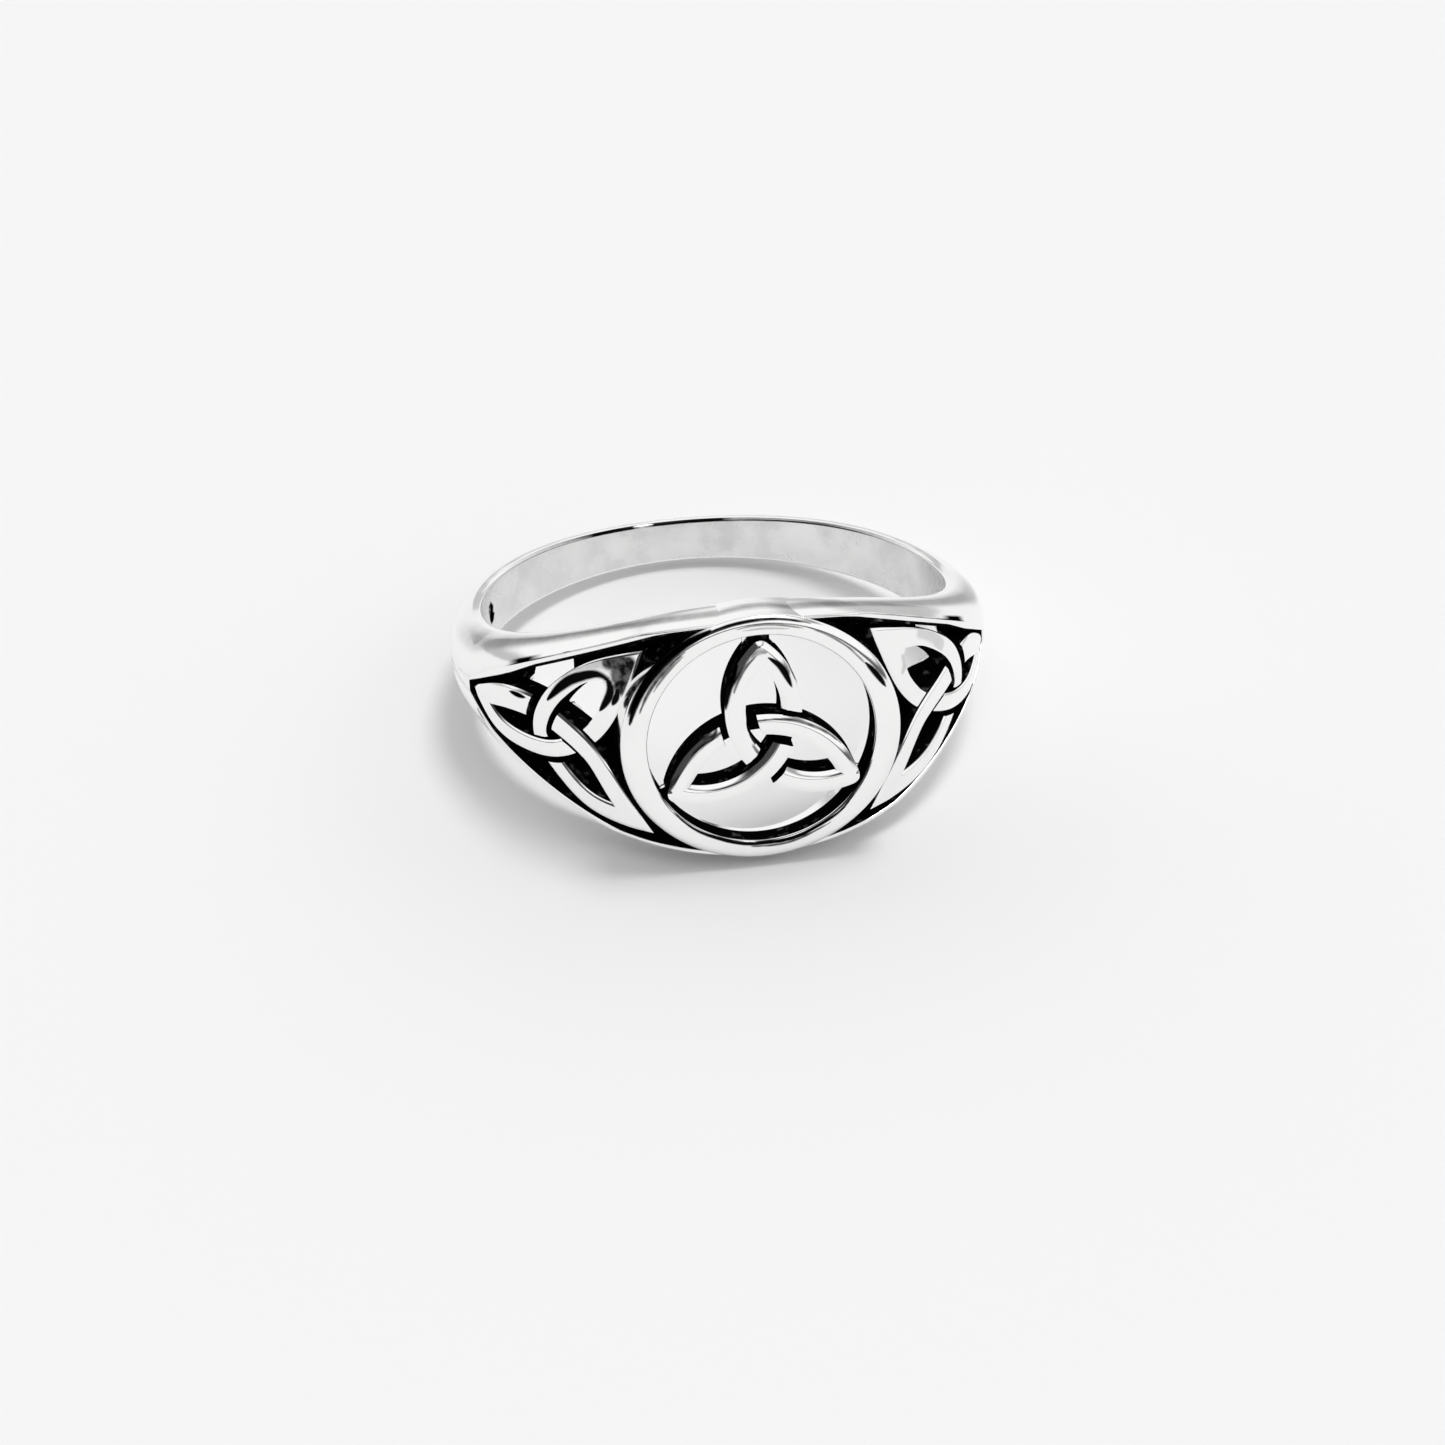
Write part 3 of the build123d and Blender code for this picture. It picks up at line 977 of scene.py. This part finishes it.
# From the flat middle of a strand, at 0, to its edge, at 1
across = rescale(strand_tree, work_out("ABSOLUTE", number("across")), given["Bevel From"], 1.0)
rounded = step("ShaderNodeFloatCurve", {"Value": across})
curve = rounded.mapping.curves[0]
while len(curve.points) < len(BEVEL_PROFILE):
    curve.points.new(0.5, 0.5)
for point, place in zip(curve.points, BEVEL_PROFILE):
    point.location = place
    point.handle_type = "AUTO"
rounded.mapping.update()
bevel = work_out("MULTIPLY", rounded, work_out("MULTIPLY", given["Bevel Drop"], number("bevel")))
top = work_out("MULTIPLY", work_out("ADD", bevel, number("sunk")), -1.0)
bottom = work_out("MULTIPLY", number("depth"), -1.0)
in_slot = work_out("MULTIPLY", raised.outputs["Top"], work_out("GREATER_THAN", number("dark"), 0.4))
black = work_out("MAXIMUM", raised.outputs["Side"], in_slot)
back = move_up(step("GeometryNodeFlipFaces", {"Mesh": given["Geometry"]}), bottom)
whole = change("JoinGeometry", back)
front = move_up(raised, either(raised.outputs["Top"], bottom, top))
strand_tree.links.new(front.outputs[0], whole.inputs[0])
merged = change("MergeByDistance", whole, Distance=raised_merge)

# The finger runs along Z and the knot faces -Y
axes = step("ShaderNodeSeparateXYZ", {0: step("GeometryNodeInputPosition")}).outputs
flat = work_out("ADD", axes["Z"], given["Top Radius"])
squares = work_out("SUBTRACT", work_out("POWER", flat, 2.0), work_out("POWER", axes["X"], 2.0))
out = either(given["Round The Finger"], flat, work_out("SQRT", squares))
seat = step("ShaderNodeCombineXYZ", {0: axes["X"], 1: work_out("MULTIPLY", out, -1.0), 2: axes["Y"]})
real = change("RealizeInstances", change("SetPosition", merged, Position=seat))
silver = change("SetMaterial", real, Material=given["Polished"])
finished = change("SetMaterial", silver, Selection=black, Material=given["Blackened"])
step("NodeGroupOutput", {0: finished})


def cast_strands(name, pieces, sizes, turn=Matrix()):
    """A finished piece, made by the node tree of flat strands and turned to its place."""
    worker = add_object(name + "_flat", flat_mesh(name + "_flat", pieces))
    modifier = worker.modifiers.new("raise", "NODES")
    modifier.node_group = strand_tree
    items = strand_tree.interface.items_tree
    sockets = {item.name: item.identifier for item in items if item.in_out == "INPUT"}
    for key, value in {"Polished": polished, "Blackened": blackened, **sizes}.items():
        modifier[sockets[key]] = value
    bpy.context.view_layer.update()
    shown = worker.evaluated_get(bpy.context.evaluated_depsgraph_get())
    mesh = bpy.data.meshes.new_from_object(shown)
    mesh.name = name
    worker.modifiers.remove(modifier)
    bpy.data.objects.remove(worker)
    mesh.transform(turn)
    if turn.is_negative:
        mesh.flip_normals()
    finish_piece(name, mesh)


def tip_directions(lines):
    """For each strand, the direction from each of its tips to between the strands that meet there."""
    ends = []
    for i, line in enumerate(lines):
        along = directions(line)
        ends += [(i, line[0], along[0]), (i, line[-1], -along[-1])]
    inward = [[] for _ in lines]
    for i, tip, away in ends:
        for k, other_tip, other_away in ends:
            if k != i and size(other_tip - tip) < same_tip:
                inward[i].append((away + other_away) / size(away + other_away))
    return inward


def woven(lines, widths, sharpness, fill, gaps, depth_at, marks, top_at=None):
    """The flat strands of a knot. Each dips under the one before it in the list."""
    strands = []
    for i, (line, inward) in enumerate(zip(lines, tip_directions(lines))):
        strands.append(Strand(line, widths[i], inward, sharpness[i], fill[i]))
    pieces = []
    for i, strand in enumerate(strands):
        grid, sunk, dark = strand.rows(strands[i - 1], gaps[i])
        if top_at:
            sunk = sunk - top_at(grid)
        # How much the edge beside each point faces up on the knot, from 0 to 1
        side = grid[:, -1:] - grid[:, :1]
        facing_up = ease(-0.5, 0.5, np.sign(strand.across) * side[..., 1] / np.maximum(size(side), 1e-6))
        pieces.append({
            "points": grid, "across": strand.across, "sunk": sunk, "dark": dark,
            "depth": depth_at(grid, sunk),
            "tarnish_and_shade": tarnish_and_shade_along(grid, marks, ease(*bright_edge, np.abs(strand.across))),
            "bevel": under_bevel + (1 - under_bevel) * facing_up,
        })
    return pieces


def bridges(lines, widths, sunk, length, depth_at):
    """Flat dark bars from a knot's tips outwards, with a width for each from the highest tip down."""
    tips = []
    for line, inward in zip(lines, tip_directions(lines)):
        for tip, way in ((line[0], inward[0]), (line[-1], inward[1])):
            if not any(size(tip - other) < same_tip for other, _ in tips):
                tips.append((tip, way))
    tips.sort(key=lambda pair: -pair[0][1])
    across = np.linspace(-1, 1, bridge_columns)
    pieces = []
    for width, (tip, way) in zip(widths, tips):
        middle = np.linspace(tip + way * bridge_overlap, tip - way * length, bridge_steps)
        grid = middle[:, None] + leftwards(directions(middle))[:, None] * across[:, None] * width / 2
        values = {"across": across, "sunk": sunk, "dark": 1.0, "depth": depth_at(grid, sunk), "bevel": 1.0}
        pieces.append({"points": grid, **values})
    return pieces


window_arcs = []
for angle, distance, radius in KNOT_ARCS:
    way = math.radians(angle)
    centre = np.array([math.cos(way), math.sin(way)]) * distance * window_half_width
    window_arcs.append((centre, radius * window_half_width))


def tip(one, other):
    """Where two arcs' circles meet on the far side from the knot's middle."""
    first, first_radius = window_arcs[one]
    second, second_radius = window_arcs[other]
    gap = size(second - first)
    way = (second - first) / gap
    near = (first_radius**2 - second_radius**2 + gap**2) / (2 * gap)
    off = math.sqrt(first_radius**2 - near**2)
    return max((first + way * near + side * off * leftwards(way) for side in (1, -1)), key=size)


def turn_to(start, end):
    """The turn from one angle to another, the shorter way round."""
    return (end - start + math.pi) % (2 * math.pi) - math.pi


# Each arc runs from tip to tip by way of the knot's middle
lines = []
for i, (centre, radius) in enumerate(window_arcs):
    ends = [tip(i, (i + k) % 3) - centre for k in (2, 1)]
    start, end = (math.atan2(y, x) for x, y in ends)
    turn = turn_to(start, end)
    if turn * turn_to(start, math.atan2(-centre[1], -centre[0])) < 0:
        turn -= math.copysign(2 * math.pi, turn)
    angles = start + turn * np.linspace(0, 1, round(abs(turn) * radius / strand_step) + 1)
    lines.append(centre + radius * np.stack([np.cos(angles), np.sin(angles)], axis=1))
pieces = woven(
    lines, widths=[(knot_strand_width,) * 2] * 3, sharpness=[(0.1, 0.1)] * 3, fill=[(0, 0)] * 3,
    gaps=KNOT_GAPS, depth_at=lambda points, sunk: knot_depth, marks=KNOT_MARKS,
)
cast_strands("middle_knot", pieces, knot_seat | knot_bevel)
pieces = bridges(lines, bridge_widths, bridge_sunk, bridge_length, lambda points, sunk: bridge_depth)
cast_strands("middle_bridges", pieces, knot_seat | bridge_bevel)


# Shoulder knots: a smaller knot of the same kind, stretched to fill each pierced shoulder and
# cast in one with it. It curves round the finger, its two corners by the bezel come to a point,
# and dark bridges and webs hold it.
thin_depth = 0.90
finger_clearance = 0.02
full_depth = shoulder_radius - bore_radius - finger_clearance
least_depth = 0.10
seat_half_width = 4.625
seat_half_height = 4.43
tip_bridge_width = 1.05
tip_bridge_sunk = 0.5
tip_bridge_length = 0.9
shoulder_seat = {"Top Radius": shoulder_radius, "Round The Finger": True}
shoulder_bevel = {"Bevel Drop": 0.07, "Bevel From": 0.7}

# How deep the dark webs lie, and the slanting line where the one at the gap's tip ends: its place
# on the gap's middle line, its slant, and where along the gap its width is taken
web_sunk = 0.45
web_place = -2.0598
web_slant = 0.46
web_width_at = 2.9
corner_web_from = 1.35
web_overlap = 0.3
tip_web_rise = 0.1
corner_web_rise = 0.15
web_rows = 20
web_columns = 9
corner_web_columns = 7

# The hollow in the knot's back: its lowest height by the gap's tip, how far that falls, where it
# does, and how far its two soft edges reach
hollow_height = 0.45
hollow_fall = 0.95
hollow_fall_reach = (0.3, 1.5)
hollow_start_reach = 0.3
hollow_edge_reach = 0.2

# Three strands, each as points: distance from the gap's tip as a share of its length, height as
# a share of its half height
PANEL_STRANDS = [
    [(0.088, 0.000), (0.259, 0.105), (0.417, 0.098), (0.543, 0.005), (0.668, -0.182),
     (0.760, -0.490), (0.838, -0.762)],
    [(0.088, 0.000), (0.190, -0.178), (0.354, -0.262), (0.512, -0.236), (0.622, -0.119),
     (0.726, 0.100), (0.790, 0.370), (0.852, 0.728)],
    [(0.852, 0.728), (0.710, 0.614), (0.583, 0.415), (0.467, 0.119), (0.436, -0.143),
     (0.522, -0.395), (0.665, -0.648), (0.838, -0.762)],
]
PANEL_WIDTHS = [
    (0.66, 0.92, 0.90, 0.76, 0.74, 0.74), (0.66, 0.62, 0.62, 0.66, 0.66, 0.66),
    (0.66, 0.64, 0.70, 0.58, 0.74),
]
PANEL_GAPS = [(0.34, 0.24), (0.14, 0.16), (0.14, 0.26)]

# How pointed each strand's two tips are, and how much wider it gets inside them
PANEL_SHARPNESS = [(0.4, 0.9), (0.4, 0.9), (0.9, 0.9)]
PANEL_FILL = [(0, 0), (0, 0.9), (0.9, 0)]

# Tarnish and painted shade on the shoulder knots: strength, half width, and places in mm on the flat
# pattern
PANEL_MARKS = [
    (1.20, 0.20, [(0.35, 0.95), (0.85, 1.48), (1.45, 1.98), (2.10, 2.30), (2.70, 2.42), (3.10, 2.20)]),
    (1.20, 0.16, [(2.90, 2.42), (3.08, 1.95), (2.92, 1.45), (2.62, 1.00)]),
    (1.20, 0.12, [(3.36, 1.95), (3.28, 1.60), (3.12, 1.30)]),
    # The soft marks are a painted dark reflection over the upper corner by the bezel
    (0.94, 0.28, [(3.05, 2.92), (3.45, 3.02), (3.80, 3.05)], "soft"),
    (0.94, 0.32, [(3.75, 3.00), (3.62, 2.50), (3.45, 2.00)], "soft"),
    (0.90, 0.22, [(3.30, 2.80), (3.34, 2.35)], "soft"),
    (0.35, 0.25, [(1.70, 2.60), (2.30, 2.80), (2.90, 2.95)], "soft"),
    (1.20, 0.11, [(-1.60, 0.74), (-1.20, 0.72), (-0.80, 0.72)]),
]
# The right knot's marks are fainter, as the light falls on it differently: painted shade
RIGHT_MARKS = [
    (0.30, 0.14, [(2.75, 2.05), (2.60, 1.70), (2.75, 1.30)]),
    (0.25, 0.25, [(0.40, 1.60), (1.00, 2.20), (1.70, 2.60)], "soft"),
]

# How far the right knot lies further back than the left one: all of it, its middle, over what
# length that fades out, and the end of its web
right_back = 0.1
right_shift = 0.85
right_shift_reach = 2.2
right_web_shift = 0.8


def web_end(height, web_shift):
    """Where the dark web at the gap's tip ends, at a height on the flat pattern."""
    return web_place - web_shift + web_slant * height


def shoulder_thickness(points, sunk, web_shift):
    """The knot's back is hollowed in its upper part, reaches the finger elsewhere, and stops at
    the bezel's window."""
    along, height = points[..., 0], points[..., 1]
    lowest = hollow_height - hollow_fall * ease(*hollow_fall_reach, along)
    hollow_start = web_end(height, web_shift) - web_shift
    hollowed = ease(0.0, hollow_start_reach, along - hollow_start)
    hollowed *= ease(-hollow_edge_reach, hollow_edge_reach, height - lowest)
    depth = full_depth + (thin_depth - full_depth) * hollowed
    seat = seat_half_width * np.sqrt(np.clip(1 - (height / seat_half_height)**2, 0, 1))
    turned = math.radians(panel_angle)
    out = (seat + along * math.cos(turned)) / math.sin(turned)
    to_window = shoulder_radius - np.sqrt(out**2 + along**2)
    return np.maximum(np.minimum(depth, to_window), sunk + least_depth)


def shoulder_top(points):
    """How far the band's outer surface lies outside the shoulder's radius."""
    turned = panel_angle - np.degrees(np.arcsin(points[..., 0] / shoulder_radius))
    return band_size(turned)[1] - shoulder_radius


def tip_web(web_shift):
    """The dark web that closes the gap's narrow end above the knot's tip."""
    grid = []
    for share in np.linspace(0, 1, web_rows):
        row = []
        for rise in np.linspace(0, 1, web_columns):
            end = web_end(rise * border_height(web_width_at), web_shift)
            along = (panel_tip + web_overlap) * (1 - share) + end * share
            row.append((along, rise * (border_height(along - panel_tip) + tip_web_rise)))
        grid.append(row)
    return {"points": np.array(grid), "sunk": web_sunk, "dark": 1.0, "depth": full_depth}


def corner_web(line, width):
    """The dark web between the knot's upper corner and the rail above it."""
    places = line[(line[:, 0] > corner_web_from) & (line[:, 1] > 0)]
    outward = leftwards(directions(places))
    outward *= np.sign(outward[:, 1])[:, None]
    grid = []
    for place, way in zip(places, outward):
        inner = place + way * width * web_overlap
        top = (inner[0], border_height(inner[0] - panel_tip) + corner_web_rise)
        shares = np.linspace(0, 1, corner_web_columns)
        grid.append([inner * (1 - share) + np.array(top) * share for share in shares])
    return {"points": np.array(grid), "sunk": web_sunk, "dark": 1.0, "depth": thin_depth}


for side, name in ((1, "left"), (-1, "right")):
    turn = Matrix.Scale(side, 4, (1, 0, 0)) @ Matrix.Rotation(-math.radians(panel_angle), 4, "Z")
    marks = PANEL_MARKS if side > 0 else RIGHT_MARKS
    web_shift = 0.0 if side > 0 else right_web_shift
    lines = []
    for strand in PANEL_STRANDS:
        spots = [(panel_tip + x * panel_length, y * panel_half_height) for x, y in strand]
        line = smooth_line(spots, strand_step)
        if side < 0:
            line[:, 0] -= right_back + right_shift * np.exp(-(line[:, 0] / right_shift_reach)**2)
        lines.append(line)

    def depth_at(points, sunk):
        return shoulder_thickness(points, sunk, web_shift)

    knot = woven(
        lines, PANEL_WIDTHS, PANEL_SHARPNESS, PANEL_FILL, PANEL_GAPS, depth_at, marks, top_at=shoulder_top
    )
    held = bridges(lines, [tip_bridge_width] * 3, tip_bridge_sunk, tip_bridge_length, depth_at)
    held += [tip_web(web_shift), corner_web(lines[2], PANEL_WIDTHS[2][0])]
    cast_strands(name + "_shoulder_knot", knot, shoulder_seat | shoulder_bevel, turn)
    cast_strands(name + "_bridges", held, shoulder_seat | bridge_bevel, turn)
